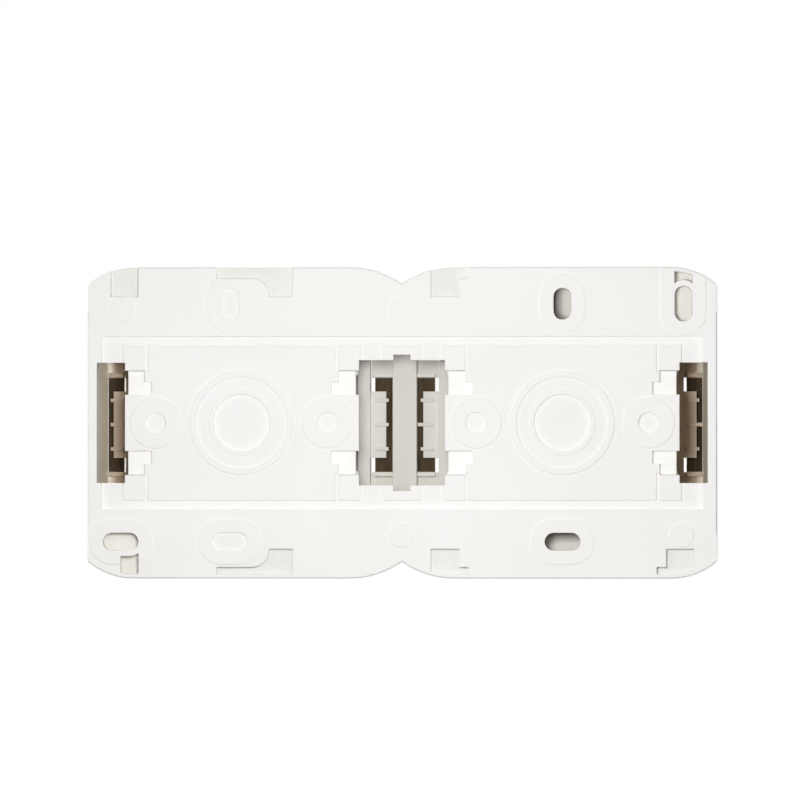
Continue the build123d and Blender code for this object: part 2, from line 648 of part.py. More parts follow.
def socket_insert():
    wall_r = WELL_R + WELL_WALL
    niche_half = EARTH_HALF_WIDTH + NICHE_GAP
    niche_y = EARTH_ARM_Y + EARTH_T / 2 + NICHE_GAP
    niche_top = FRAME_SKIN_Z
    insert = insert_plate()
    insert += disc(0, 0, wall_r, SHUTTER_ROOF_Z, FRAME_SKIN_Z)
    ears = Rectangle(2 * (niche_half + NICHE_WALL), 2 * (niche_y + NICHE_WALL))
    insert += prism(ears, SHUTTER_ROOF_Z, FRAME_SKIN_Z)
    well = Circle(WELL_R)
    guide = rect(WELL_R - GUIDE_DEPTH, WELL_R + 1, -GUIDE_HALF, GUIDE_HALF)
    well -= guide + mirror(guide, Plane.YZ)
    insert -= prism(well, WELL_FLOOR_Z, INSERT_FRONT + 1)
    rim = insert.edges().filter_by(GeomType.CIRCLE).group_by(Axis.Z)[-1]
    insert = chamfer([e for e in rim if abs(e.radius - WELL_R) < 1e-3], 0.5)
    niche = rect(-niche_half, niche_half, WELL_R - 3, niche_y)
    insert -= prism(niche + mirror(niche, Plane.XZ), SHUTTER_ROOF_Z - 1, niche_top)
    for x in (-PIN_SPACING / 2, PIN_SPACING / 2):
        insert -= disc(x, 0, PIN_HOLE_R, SHUTTER_ROOF_Z - 1, WELL_FLOOR_Z + 1)
    insert -= centre_screw_body(SCREW_FIT)
    insert += mirror(latch_tongue(OUTER_TIP, OUTER_WALL_X - LONG_RIB_CLEARANCE), Plane.YZ)
    insert += latch_tongue(INNER_TIP, INNER_WALL_X - LONG_RIB_CLEARANCE)
    return Pos(SOCKET_X, 0, 0) * insert


def centre_screw_body(extra):
    """Countersunk screw in the middle of the well, grown by a clearance."""
    head_z = WELL_FLOOR_Z - 0.1
    neck_z = head_z - CENTRE_HEAD_T
    profile = Polyline(
        (0, head_z - CENTRE_SCREW_LENGTH),
        (CENTRE_SCREW_R + extra, head_z - CENTRE_SCREW_LENGTH),
        (CENTRE_SCREW_R + extra, neck_z),
        (CENTRE_HEAD_R + extra, head_z),
        (CENTRE_HEAD_R + extra, head_z + 0.1 + extra),
        (0, head_z + 0.1 + extra),
        close=True,
    )
    return revolve(Plane.XZ * make_face(profile), Axis.Z)


def centre_screw():
    screw = centre_screw_body(0)
    drive = block(-CENTRE_HEAD_R, CENTRE_HEAD_R, -DRIVE_SLOT_W / 2, DRIVE_SLOT_W / 2, 0, 1)
    screw -= Pos(0, 0, WELL_FLOOR_Z - DRIVE_SLOT_DEPTH) * drive
    return Pos(SOCKET_X, 0, 0) * screw


def mechanism_flange():
    """Flange under the hooks, with the two terminal seats on it."""
    flange = block(
        -FLANGE_HALF_LENGTH, FLANGE_HALF_LENGTH, -FLANGE_HALF_HEIGHT, FLANGE_HALF_HEIGHT, PLATE_T, FLANGE_Z
    )
    seat_end = TERMINAL_X + TERMINAL_HALF_LENGTH
    seat = rect(SEAT_X, seat_end, -TERMINAL_HALF_WIDTH, TERMINAL_HALF_WIDTH)
    seat -= Pos(TERMINAL_X, 0) * Circle(SCREW_R + 0.4)
    return flange + prism(seat + mirror(seat, Plane.YZ), FLANGE_Z, SEAT_Z)


def socket_base():
    half_length = SOCKET_CORE_HALF_LENGTH
    half_height = SOCKET_CORE_HALF_HEIGHT
    core = RectangleRounded(2 * half_length, 2 * half_height, CORE_ROUND)
    base = mechanism_flange() + prism(core, FLANGE_Z, SOCKET_CORE_TOP)

    # Contact chambers and the slots where the strips leave them
    x = PIN_SPACING / 2
    chamber = rect(x - JAW_HALF_WIDTH - CAVITY_GAP, CHAMBER_X, -JAW_LIP - 1.5, JAW_LIP + 1.5)
    base -= prism(chamber + mirror(chamber, Plane.YZ), JAW_Z, SOCKET_CORE_TOP)
    way = rect(x, SEAT_X, -TERMINAL_HALF_WIDTH - 0.2, TERMINAL_HALF_WIDTH + 0.2)
    base -= prism(way + mirror(way, Plane.YZ), JAW_Z, SEAT_Z + STRIP_T + 0.4)

    # Channel of the earth bracket, with room below it for the two screws
    channel = Rectangle(2 * (CLAMP_HALF + 0.3), 2 * half_height)
    base -= prism(channel, EARTH_Z, SOCKET_CORE_TOP)
    screw_end = WELL_FLOOR_Z - CENTRE_SCREW_LENGTH - 1
    base -= disc(0, 0, CENTRE_SCREW_R + 0.4, screw_end, SOCKET_CORE_TOP)
    base -= disc(0, EARTH_SCREW_Y, SCREW_R + 0.4, EARTH_Z - SCREW_LENGTH, SOCKET_CORE_TOP)

    # Ribs that guide the shutter and stop its spring
    rib = rect(half_length - GUIDE_RIB_T, half_length, -SHUTTER_LOW - 1, half_height - CORE_ROUND)
    ribs = rib + mirror(rib, Plane.YZ)
    stop_y = half_height - CORE_ROUND
    ribs += rect(-half_length + GUIDE_RIB_T, half_length - GUIDE_RIB_T, stop_y - GUIDE_RIB_T, stop_y)
    ribs -= channel
    base += prism(ribs, SOCKET_CORE_TOP, SHUTTER_ROOF_Z)
    return Pos(SOCKET_X, 0, 0) * base


def contact_jaw():
    """Spring jaw for one plug pin with the strip to its terminal, on the +x side."""
    floor = JAW_Z + STRIP_T / 2
    lip_z = SOCKET_CORE_TOP - 0.5
    half = [
        (0, floor),
        (JAW_HALF_GAP, floor),
        (JAW_HALF_GAP, floor + JAW_SHOULDER),
        (JAW_THROAT, lip_z - 3.0),
        (JAW_LIP, lip_z),
    ]
    side = trace(FilletPolyline(*half, radius=0.6), line_width=STRIP_T)
    jaw = along_x(side + mirror(side, Plane.YZ), JAW_HALF_WIDTH)
    seat = SEAT_Z + STRIP_T / 2
    rise_x = SEAT_X - PIN_SPACING / 2 - 1.2
    path = FilletPolyline(
        (0, floor),
        (rise_x, floor),
        (rise_x, seat),
        (TERMINAL_X + TERMINAL_HALF_LENGTH - PIN_SPACING / 2, seat),
        radius=0.6,
    )
    jaw += along_y(trace(path, line_width=STRIP_T), TERMINAL_HALF_WIDTH)
    jaw = Pos(PIN_SPACING / 2, 0, 0) * jaw
    return jaw - disc(TERMINAL_X, 0, SCREW_R + SCREW_FIT, SEAT_Z - 1, SEAT_Z + 2)


def line_contact():
    return Pos(SOCKET_X, 0, 0) * mirror(contact_jaw(), Plane.YZ)


def neutral_contact():
    return Pos(SOCKET_X, 0, 0) * contact_jaw()


def earth_bracket():
    low = EARTH_Z + EARTH_T / 2
    top = FRAME_SKIN_Z - 2.4
    half = FilletPolyline(
        (0, low),
        (EARTH_ARM_Y, low),
        (EARTH_ARM_Y, top),
        (EARTH_BULGE_Y + 0.8, top - 1.5),
        (EARTH_BULGE_Y + 0.5, WELL_FLOOR_Z + EARTH_KNEE),
        (WELL_R + 0.3, WELL_FLOOR_Z + 2.0),
        radius=0.8,
    )
    side = trace(half, line_width=EARTH_T)
    bracket = along_x(side + mirror(side, Plane.YZ), EARTH_HALF_WIDTH)
    bracket -= disc(0, 0, CENTRE_SCREW_R + SCREW_FIT, EARTH_Z - 1, EARTH_Z + EARTH_T + 1)
    bracket -= disc(0, EARTH_SCREW_Y, SCREW_R + SCREW_FIT, EARTH_Z - 1, EARTH_Z + EARTH_T + 1)
    return Pos(SOCKET_X, 0, 0) * bracket


def shutter():
    half = SOCKET_CORE_HALF_LENGTH - GUIDE_RIB_T - SHUTTER_GAP
    plate = rect(-half, half, -SHUTTER_LOW, SHUTTER_HIGH)
    plate -= rect(-SHUTTER_SLOT_HALF, SHUTTER_SLOT_HALF, -SHUTTER_LOW, SHUTTER_SLOT_HALF)
    blade = prism(plate, SOCKET_CORE_TOP + SHUTTER_GAP, SHUTTER_ROOF_Z - SHUTTER_GAP)
    ramps = [
        e
        for e in blade.edges().filter_by(Axis.X).group_by(Axis.Z)[-1]
        if e.center().Y < -SHUTTER_LOW + 0.1
    ]
    return Pos(SOCKET_X, 0, 0) * chamfer(ramps, SHUTTER_RAMP)


def shutter_spring():
    """Flat zigzag spring between the shutter and its stop."""
    start = SHUTTER_HIGH + SPRING_STRIP_T / 2
    stop = SOCKET_CORE_HALF_HEIGHT - CORE_ROUND - GUIDE_RIB_T - SPRING_STRIP_T / 2
    rise = (stop - start) / 3
    reach = SOCKET_CORE_HALF_LENGTH / 2
    path = FilletPolyline(
        (-reach, start),
        (reach, start),
        (-reach, start + rise),
        (reach, start + 2 * rise),
        (-reach, stop),
        (reach, stop),
        radius=0.6,
    )
    wave = prism(trace(path, line_width=SPRING_STRIP_T), 0, SHUTTER_SPACE - 4 * SHUTTER_GAP)
    return Pos(SOCKET_X, 0, SOCKET_CORE_TOP + 2 * SHUTTER_GAP) * wave


def terminal_screw(x, y, z):
    """Cheese-head clamp screw standing on its clamp."""
    top = z + SCREW_HEAD_T
    screw = disc(0, 0, SCREW_HEAD_R, z, top) + disc(0, 0, SCREW_R, z - SCREW_LENGTH, z)
    rim = [e for e in screw.edges().group_by(Axis.Z)[-1]]
    screw = chamfer(rim, 0.3)
    drive = block(-SCREW_HEAD_R, SCREW_HEAD_R, -DRIVE_SLOT_W / 2, DRIVE_SLOT_W / 2, top - DRIVE_SLOT_DEPTH, top)
    return Pos(x, y, 0) * (screw - drive)


def terminal_clamp(x, y, z):
    """Square clamp plate with two edges turned down over the wire."""
    plate = block(-CLAMP_HALF, CLAMP_HALF, -CLAMP_HALF, CLAMP_HALF, z, z + CLAMP_T)
    plate = chamfer(plate.edges().filter_by(Axis.X).group_by(Axis.Z)[-1], 0.4)
    plate -= disc(0, 0, SCREW_R + SCREW_FIT, z - 1, z + CLAMP_T + 1)
    return Pos(x, y, 0) * plate


def pair_at(module_x, maker, z):
    """The same piece on both terminals of a mechanism."""
    return maker(module_x - TERMINAL_X, 0, z) + maker(module_x + TERMINAL_X, 0, z)


def switch_insert():
    insert = insert_plate()
    opening = RectangleRounded(2 * OPENING_X, 2 * OPENING_Y, KEY_CORNER_R + KEY_SIDE_GAP)
    outer = RectangleRounded(
        2 * (OPENING_X + KEY_WELL_WALL), 2 * (OPENING_Y + KEY_WELL_WALL), KEY_CORNER_R + KEY_WELL_WALL
    )
    insert += prism(outer, INSERT_FRONT - KEY_WELL_DEPTH, FRAME_SKIN_Z)
    leg = block(FLANGE_HALF_LENGTH - LEG_T, FLANGE_HALF_LENGTH, -LEG_HALF, LEG_HALF, FLANGE_Z, FRAME_SKIN_Z)
    insert += leg + mirror(leg, Plane.YZ)
    insert += latch_tongue(OUTER_TIP, OUTER_TIP + RIB_STEP)
    insert += mirror(latch_tongue(INNER_TIP, INNER_TIP + RIB_STEP), Plane.YZ)
    insert -= prism(opening, INSERT_FRONT - KEY_WELL_DEPTH - 1, INSERT_FRONT + 1)
    return Pos(SWITCH_X, 0, 0) * insert


def switch_base():
    half_length = SWITCH_CORE_HALF_LENGTH
    core = RectangleRounded(2 * half_length, 2 * SWITCH_CORE_HALF_HEIGHT, CORE_ROUND)
    base = mechanism_flange() + prism(core, FLANGE_Z, SWITCH_CORE_TOP)
    cavity_x = half_length - CHEEK_T
    cavity = Rectangle(2 * cavity_x, 2 * (SWITCH_CORE_HALF_HEIGHT - CORE_WALL))
    base -= prism(cavity, CAVITY_FLOOR, SWITCH_CORE_TOP)
    way = rect(cavity_x - 1, SEAT_X, -TERMINAL_HALF_WIDTH - 0.2, TERMINAL_HALF_WIDTH + 0.2)
    base -= prism(way + mirror(way, Plane.YZ), SEAT_Z, SEAT_Z + STRIP_T + 0.4)

    # Cheeks that carry the rocker's pivot pins
    top = PIVOT_Z + CHEEK_TOP
    cheek = Pos(0, PIVOT_Z) * Circle(CHEEK_TOP + 0.4)
    cheek += rect(-CHEEK_HALF, CHEEK_HALF, SWITCH_CORE_TOP - 1, PIVOT_Z - CHEEK_TOP)
    cheek += rect(-CHEEK_TOP - 0.4, CHEEK_TOP + 0.4, PIVOT_Z - CHEEK_TOP - 1, PIVOT_Z)
    cheek -= Pos(0, PIVOT_Z) * Circle(PIVOT_R + PIVOT_FIT)
    cheek = Pos(CHEEK_X + CHEEK_T / 2, 0, 0) * along_x(cheek, CHEEK_T / 2)
    base += cheek + mirror(cheek, Plane.YZ)

    # Post under the strips and the stop for the lever's resting end
    floor_post = rect(-LEVER_HALF_WIDTH, LEVER_HALF_WIDTH, -TERMINAL_HALF_WIDTH, TERMINAL_HALF_WIDTH)
    base += prism(floor_post, CAVITY_FLOOR, SEAT_Z)
    contact_post = rect(-LEVER_HALF_WIDTH, LEVER_HALF_WIDTH, -CONTACT_Y - 2, -CONTACT_Y + 2)
    base += prism(contact_post, CAVITY_FLOOR, SEAT_Z)
    drop = LEVER_HALF_LENGTH * sin(radians(LEVER_TILT))
    stop_z = LEVER_Z + (LEVER_TOP - LEVER_T - LEVER_Z) * cos(radians(LEVER_TILT)) - drop - STOP_GAP
    stop = rect(-LEVER_HALF_WIDTH, LEVER_HALF_WIDTH, LEVER_HALF_LENGTH - 2, LEVER_HALF_LENGTH)
    base += prism(stop, CAVITY_FLOOR, stop_z)
    return Pos(SWITCH_X, 0, 0) * base


def switch_cap():
    """Lid of the contact chamber with the opening for the stem."""
    half = SWITCH_CORE_HALF_LENGTH - CHEEK_T - 0.1
    lid = Rectangle(2 * half, 2 * (SWITCH_CORE_HALF_HEIGHT - 0.3))
    lid -= SlotOverall(2 * (STEM_R + 3.0), 2 * (STEM_R + 1.2), rotation=90)
    plug = Rectangle(2 * half - 0.4, 2 * (SWITCH_CORE_HALF_HEIGHT - CORE_WALL - 0.2))
    plug -= Rectangle(2 * (half - CAP_RIM), 2 * (SWITCH_CORE_HALF_HEIGHT - CORE_WALL - 1.6))
    cap = prism(lid, SWITCH_CORE_TOP, SWITCH_CORE_TOP + CAP_T)
    return Pos(SWITCH_X, 0, 0) * (cap + prism(plug, SWITCH_CORE_TOP - 1.2, SWITCH_CORE_TOP))


def rocked(shape):
    """A piece of the rocker tilted to its resting, switched-off side."""
    return Pos(SWITCH_X, 0, PIVOT_Z) * Rot(ROCKER_TILT, 0, 0) * Pos(0, 0, -PIVOT_Z) * shape


def rocker_key():
    half = KEY_HEIGHT / 2
    base = KEY_FRONT - KEY_SKIN - KEY_SKIRT
    face = Curve() + [
        Line((-half, base), (-half, KEY_FRONT)),
        ThreePointArc((-half, KEY_FRONT), (0, KEY_FRONT - KEY_HOLLOW), (half, KEY_FRONT)),
        Line((half, KEY_FRONT), (half, base)),
        Line((half, base), (-half, base)),
    ]
    key = along_x(make_face(face), KEY_WIDTH / 2)
    key = fillet(key.edges().filter_by(Axis.Z), KEY_CORNER_R)
    front = [e for e in key.edges() if e.center().Z > KEY_FRONT - KEY_HOLLOW - 0.5]
    key = fillet(front, KEY_EDGE_R)
    inside = RectangleRounded(KEY_WIDTH - 2 * KEY_WALL, KEY_HEIGHT - 2 * KEY_WALL, KEY_CORNER_R - 1)
    key -= prism(inside, base - 1, KEY_UNDER)
    y0 = CRADLE_HALF_HEIGHT + 0.15
    clip = Polyline(
        (y0, KEY_UNDER),
        (y0, CRADLE_Z - 0.1),
        (y0 - CLIP_NOSE, CRADLE_Z - 0.1),
        (y0 - CLIP_NOSE, CRADLE_Z - 0.5),
        (y0, CRADLE_Z - 1.4),
        (y0 + CLIP_T, CRADLE_Z - 1.4),
        (y0 + CLIP_T, KEY_UNDER),
        close=True,
    )
    clip = along_x(make_face(clip), CLIP_HALF)
    return rocked(key + clip + mirror(clip, Plane.XZ))


def rocker_cradle():
    plate = Rectangle(2 * CRADLE_HALF_LENGTH, 2 * CRADLE_HALF_HEIGHT)
    cradle = prism(plate, CRADLE_Z, KEY_UNDER)
    middle = Rectangle(2 * CRADLE_HALF_LENGTH, 2 * CRADLE_BLOCK_HALF)
    cradle += prism(middle, PIVOT_Z - PIVOT_R - 0.6, CRADLE_Z)
    stem_end = PIVOT_Z - STEM_LENGTH
    cradle += disc(0, 0, STEM_R, stem_end, CRADLE_Z)
    cradle -= disc(0, 0, PLUNGER_R + PLUNGER_FIT, stem_end - 1, CRADLE_Z - 0.6)
    pin = Pos(0, PIVOT_Z) * Circle(PIVOT_R)
    cradle += along_x(pin, CHEEK_X + CHEEK_T) - disc(0, 0, STEM_R, 0, CRADLE_Z)
    return rocked(cradle)


def plunger():
    tip = LEVER_TOP + PLUNGER_GAP
    body = disc(0, 0, PLUNGER_R, tip, tip + PLUNGER_LENGTH)
    return rocked(fillet(body.edges().group_by(Axis.Z)[0], PLUNGER_R - 0.4))


def plunger_spring():
    start = LEVER_TOP + PLUNGER_GAP + PLUNGER_LENGTH + COIL_WIRE_R
    end = CRADLE_Z - 0.6 - COIL_WIRE_R
    coil = Helix((end - start) / COIL_TURNS, end - start, COIL_R)
    wire = sweep(Plane(coil @ 0, z_dir=coil % 0) * Circle(COIL_WIRE_R), path=coil)
    return rocked(Pos(0, 0, start) * wire)


def levered(shape):
    """A piece of the contact lever tilted to its resting, open side."""
    return Pos(SWITCH_X, 0, LEVER_Z) * Rot(-LEVER_TILT, 0, 0) * Pos(0, 0, -LEVER_Z) * shape


def contact_lever():
    blade = rect(-LEVER_HALF_WIDTH, LEVER_HALF_WIDTH, -LEVER_HALF_LENGTH, LEVER_HALF_LENGTH)
    lever = prism(blade, LEVER_TOP - LEVER_T, LEVER_TOP)
    pin = Pos(0, LEVER_Z) * Circle(LEVER_PIN_R)
    lever += along_x(pin, LEVER_HALF_WIDTH + LEVER_EAR_GAP + STRIP_T)
    return levered(lever)


def lever_contact():
    top = LEVER_TOP - LEVER_T
    tip = disc(0, -CONTACT_Y, CONTACT_R, top - CONTACT_T, top)
    return levered(chamfer(tip.edges().group_by(Axis.Z)[0], 0.2))


def closed_contact_z():
    """Level that the lever's contact reaches when the switch is on."""
    turn = radians(LEVER_TILT)
    face = LEVER_TOP - LEVER_T - CONTACT_T - LEVER_Z
    return LEVER_Z + face * cos(turn) - (CONTACT_Y + CONTACT_R) * sin(turn)


def terminal_strip(inner):
    """Flat strip from inside the chamber to the terminal on the +x side."""
    end = TERMINAL_X + TERMINAL_HALF_LENGTH
    strip = rect(inner, end, -TERMINAL_HALF_WIDTH, TERMINAL_HALF_WIDTH)
    return strip - Pos(TERMINAL_X, 0) * Circle(SCREW_R + SCREW_FIT)


def common_terminal():
    """Strip under the lever with two ears that hold its pivot pin."""
    ear_x = LEVER_HALF_WIDTH + LEVER_EAR_GAP
    strip = prism(terminal_strip(-ear_x - STRIP_T), SEAT_Z, SEAT_Z + STRIP_T)
    ear = rect(-TERMINAL_HALF_WIDTH + 1, TERMINAL_HALF_WIDTH - 1, SEAT_Z, LEVER_Z)
    ear += Pos(0, LEVER_Z) * Circle(LEVER_PIN_R + 1.0)
    ear -= Pos(0, LEVER_Z) * Circle(LEVER_PIN_R + LEVER_PIN_FIT)
    ear = Pos(ear_x + STRIP_T / 2, 0, 0) * along_x(ear, STRIP_T / 2)
    return Pos(SWITCH_X, 0, 0) * (strip + ear + mirror(ear, Plane.YZ))


def load_terminal():
    """Strip from the other terminal to the folded seat of the fixed contact."""
    reach = LEVER_HALF_WIDTH + LEVER_EAR_GAP + STRIP_T + 1.5
    flat = mirror(terminal_strip(reach), Plane.YZ)
    arm_y0 = -CONTACT_Y - 2.4
    arm_y1 = -TERMINAL_HALF_WIDTH - 1.6
    flat += rect(-reach - LOAD_ARM_W, -reach, arm_y0, 0)
    flat += rect(-reach - LOAD_ARM_W, LEVER_HALF_WIDTH, arm_y0, arm_y1)
    seat = closed_contact_z() - CONTACT_GAP - CONTACT_T - STRIP_T / 2
    fold = FilletPolyline(
        (arm_y1 - 1, SEAT_Z + STRIP_T / 2),
        (arm_y0 + STRIP_T / 2, SEAT_Z + STRIP_T / 2),
        (arm_y0 + STRIP_T / 2, seat),
        (arm_y1, seat),
        radius=0.5,
    )
    terminal = prism(flat, SEAT_Z, SEAT_Z + STRIP_T)
    terminal += along_x(trace(fold, line_width=STRIP_T), LEVER_HALF_WIDTH)
    return Pos(SWITCH_X, 0, 0) * terminal


def fixed_contact():
    top = closed_contact_z() - CONTACT_GAP
    tip = disc(0, -CONTACT_Y, CONTACT_R, top - CONTACT_T, top)
    return Pos(SWITCH_X, 0, 0) * chamfer(tip.edges().group_by(Axis.Z)[-1], 0.15)


CLAMP_Z = SEAT_Z + STRIP_T
EARTH_CLAMP_Z = EARTH_Z + EARTH_T

PIECES = {
    "base_plate": base_plate(),
    "front_frame": front_frame(),
    "latch_plates": latch_plates(),
    "socket_insert": socket_insert(),
    "socket_base": socket_base(),
    "line_contact": line_contact(),
    "neutral_contact": neutral_contact(),
    "earth_bracket": earth_bracket(),
    "shutter": shutter(),
    "shutter_spring": shutter_spring(),
    "centre_screw": centre_screw(),
    "socket_terminal_screws": pair_at(SOCKET_X, terminal_screw, CLAMP_Z + CLAMP_T),
    "socket_terminal_clamps": pair_at(SOCKET_X, terminal_clamp, CLAMP_Z),
    "earth_terminal_screw": terminal_screw(SOCKET_X, EARTH_SCREW_Y, EARTH_CLAMP_Z + CLAMP_T),
    "earth_terminal_clamp": terminal_clamp(SOCKET_X, EARTH_SCREW_Y, EARTH_CLAMP_Z),
    "switch_insert": switch_insert(),
    "switch_base": switch_base(),
    "switch_cap": switch_cap(),
    "rocker_key": rocker_key(),
    "rocker_cradle": rocker_cradle(),
    "plunger": plunger(),
    "plunger_spring": plunger_spring(),
    "contact_lever": contact_lever(),
    "lever_contact": lever_contact(),
    "common_terminal": common_terminal(),
    "load_terminal": load_terminal(),
    "fixed_contact": fixed_contact(),
    "switch_terminal_screws": pair_at(SWITCH_X, terminal_screw, CLAMP_Z + CLAMP_T),
    "switch_terminal_clamps": pair_at(SWITCH_X, terminal_clamp, CLAMP_Z),
}

# Stood up against the wall: the back faces +Y and the front faces -Y.
os.makedirs("parts", exist_ok=True)
for name, piece in PIECES.items():
    export_step(Plane.XZ * piece, f"parts/{name}.step")
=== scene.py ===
import json

import bpy
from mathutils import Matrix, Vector

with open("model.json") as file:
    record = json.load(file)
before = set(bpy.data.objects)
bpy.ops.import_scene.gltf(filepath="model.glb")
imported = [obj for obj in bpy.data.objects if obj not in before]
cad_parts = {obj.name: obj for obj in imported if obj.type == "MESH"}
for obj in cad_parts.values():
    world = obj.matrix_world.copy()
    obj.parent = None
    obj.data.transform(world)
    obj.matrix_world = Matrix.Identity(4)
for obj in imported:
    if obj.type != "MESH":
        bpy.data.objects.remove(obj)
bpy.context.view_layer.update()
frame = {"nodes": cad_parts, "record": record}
nodes = frame["nodes"]

# Lengths are in metres. The back of the object faces +Y, its front -Y, and +Z is up.
# An edge is a pair of distances or depths between which a value goes over from one to the other.
WHITE = (1.0, 1.0, 1.0, 1.0)

# Camera: behind the object, a little low and to the socket's side, far off with a long lens.
CAMERA_POS = (-0.028, 1.25, -0.018)
CAMERA_TARGET = (0.00045, 0.0, 0.00573)
CAMERA_LENS = 223.1
CAMERA_NEAR = 0.01

# Square lamps, all aimed at LAMP_TARGET: name, position, side, watts.
LAMP_TARGET = (0.0, 0.0, 0.0)
LAMPS = (
    ("back_light", (0.004, 0.43, 0.01), 0.06, 1.17),
    ("side_light", (-0.3, 0.5, 0.08), 0.2, 0.3),
    ("fill_light", (0.3, 0.5, 0.08), 0.2, 0.24),
    ("room_light", (0.2, -1.2, 0.7), 0.8, 11.0),
    ("left_light", (1.0, -0.2, 0.3), 0.8, 9.5),
    ("right_light", (-1.0, -0.2, 0.3), 0.8, 5.0),
)
WORLD_COLOUR = (1.0, 0.97, 0.92, 1.0)
WORLD_STRENGTH = 0.2
BACKGROUND_STRENGTH = 1.0

# Colour marks of all materials: noise below the first value is dark, above the second light.
MARK_LOW = 0.3
MARK_HIGH = 0.7

# Moulded plastic.
FLOW_SCALE = 35.0
FLOW_DETAIL = 3.0
GRAIN_DETAIL = 2.0
GRAIN_STRENGTH = 0.12
PLASTIC_SPREAD = 0.05
PLASTIC_IOR = 1.5
PLASTIC_SPECULAR = 0.25
EDGE_ROUND = 0.0006
EDGE_SAMPLES = 6
EDGE_SHARE = 0.4

# Name, light and dark screen colour, roughness, grain scale, grain height, painted shade tint in the
# end windows.
# Painted shade: warm brown on the tongues deep in the end windows, standing in for the shade there,
# not the plastic's own colour.
TONGUE_SHADE_TINT = (0.92, 0.8, 0.67, 1.0)
PLASTICS = (
    ("housing_plastic", (243, 242, 241), (240, 239, 237), 0.5, 5200.0, 0.00002, None),
    ("cover_plastic", (244, 241, 234), (241, 237, 229), 0.5, 4200.0, 0.00001, TONGUE_SHADE_TINT),
    ("mechanism_plastic", (249, 248, 245), (245, 244, 240), 0.5, 4200.0, 0.00002, None),
    ("shutter_plastic", (204, 202, 196), (196, 194, 187), 0.45, 4200.0, 0.00002, None),
)

# Cable windows at both ends: where they lie, and the warm brown painted shade on what lies deep
# inside them.
FULL_DEPTH = 0.04
WINDOW_SPAN = (0.022, 0.025)
TONGUE_ENDS = (0.0695, 0.0705)
TONGUE_FRONT = (0.885, 0.9)
END_WINDOW = (0.069, 0.07)
END_FADE = (0.02, 0.6)
# Painted shade: warm brown on the frame's walls and floors deep in the end windows.
END_SHADE_TINT = (0.97, 0.8, 0.66, 1.0)
WALL_SKIN = (0.0782, 0.0788)
WALL_FRONT = (0.9, 0.92)
FLOOR_SKIN = (0.0771, 0.0774)
FLOOR_FRONT = (0.992, 0.998)

# The frame's thin plastic: painted light and shade by share of FULL_DEPTH, darker near the wall plane
# and lighter deep inside, and light that seeps through the end walls.
FRAME_ROUGH = 0.5
FRAME_GRAIN = 4200.0
FRAME_GRAIN_HEIGHT = 0.00001
FRAME_MARK = (0.97, 0.97, 0.96, 1.0)
FRAME_DEPTH_SHADING = (
    (0.09, (231, 231, 228)),
    (0.14, (250, 247, 240)),
    (0.35, (252, 248, 240)),
    (0.95, (252, 248, 240)),
    (1.0, (243, 239, 231)),
)
SEEP_WALL = (0.0755, 0.0765)
SEEP_SHARE = 0.9
SEEP_RADIUS = (1.0, 1.0, 1.0)
SEEP_SCALE = 0.008

# Metal: name, light and dark screen colour, roughness, stretch of the streaks.
METALS = (
    ("brass", (214, 178, 104), (188, 150, 80), 0.32, (0.2, 1.0, 1.0)),
    ("steel", (196, 196, 194), (164, 164, 163), 0.34, (1.0, 0.25, 1.0)),
    ("contact_silver", (224, 224, 221), (202, 202, 200), 0.28, (1.0, 1.0, 1.0)),
    # Painted shade: dark_steel's dark brown stands in for the deep shade of the pockets where its
    # latch plates sit, not for a metal's own colour.
    ("dark_steel", (66, 56, 43), (40, 33, 25), 0.55, (1.0, 1.0, 0.1)),
)
STREAK_SCALE = 900.0
STREAK_DETAIL = 4.0
STREAK_STRENGTH = 0.1
STREAK_HEIGHT = 0.00002
METAL_SPREAD = 0.08


def linear(colour):
    """Colour as seen on a screen, turned into the light values that shaders use."""
    def one(v):
        v = v / 255.0
        return v / 12.92 if v <= 0.04045 else ((v + 0.055) / 1.055) ** 2.4

    return tuple(one(v) for v in colour) + (1.0,)


def new_material(name):
    mat = bpy.data.materials.new(name)
    mat.use_nodes = True
    tree = mat.node_tree
    return mat, tree, tree.nodes["Principled BSDF"]


def place(tree):
    """Coordinates that stay with the object."""
    return tree.nodes.new("ShaderNodeTexCoord").outputs["Object"]


def part_of(tree, where, axis):
    node = tree.nodes.new("ShaderNodeSeparateXYZ")
    tree.links.new(where, node.inputs["Vector"])
    return node.outputs[axis]


def noise(tree, vector, scale, detail):
    tex = tree.nodes.new("ShaderNodeTexNoise")
    tex.inputs["Scale"].default_value = scale
    tex.inputs["Detail"].default_value = detail
    tree.links.new(vector, tex.inputs["Vector"])
    return tex.outputs["Fac"]


def ramp(tree, value, stops):
    node = tree.nodes.new("ShaderNodeValToRGB")
    first, last = node.color_ramp.elements
    first.position, first.color = stops[0]
    last.position, last.color = stops[-1]
    for at, colour in stops[1:-1]:
        node.color_ramp.elements.new(at).color = colour
    tree.links.new(value, node.inputs["Fac"])
    return node.outputs["Color"]


def marks(tree, value, light, dark):
    """Light and dark marks that follow a noise."""
    return ramp(tree, value, [(MARK_LOW, dark), (MARK_HIGH, light)])


def span(tree, value, low, high, start=0.0, stop=1.0):
    """Goes from low to high while a value goes from start to stop."""
    node = tree.nodes.new("ShaderNodeMapRange")
    node.inputs["From Min"].default_value = start
    node.inputs["From Max"].default_value = stop
    node.inputs["To Min"].default_value = low
    node.inputs["To Max"].default_value = high
    tree.links.new(value, node.inputs["Value"])
    return node.outputs["Result"]


def calc(tree, operation, first, second=None):
    node = tree.nodes.new("ShaderNodeMath")
    node.operation = operation
    tree.links.new(first, node.inputs[0])
    if second is not None:
        tree.links.new(second, node.inputs[1])
    return node.outputs["Value"]


def product(tree, first, *others):
    for other in others:
        first = calc(tree, "MULTIPLY", first, other)
    return first


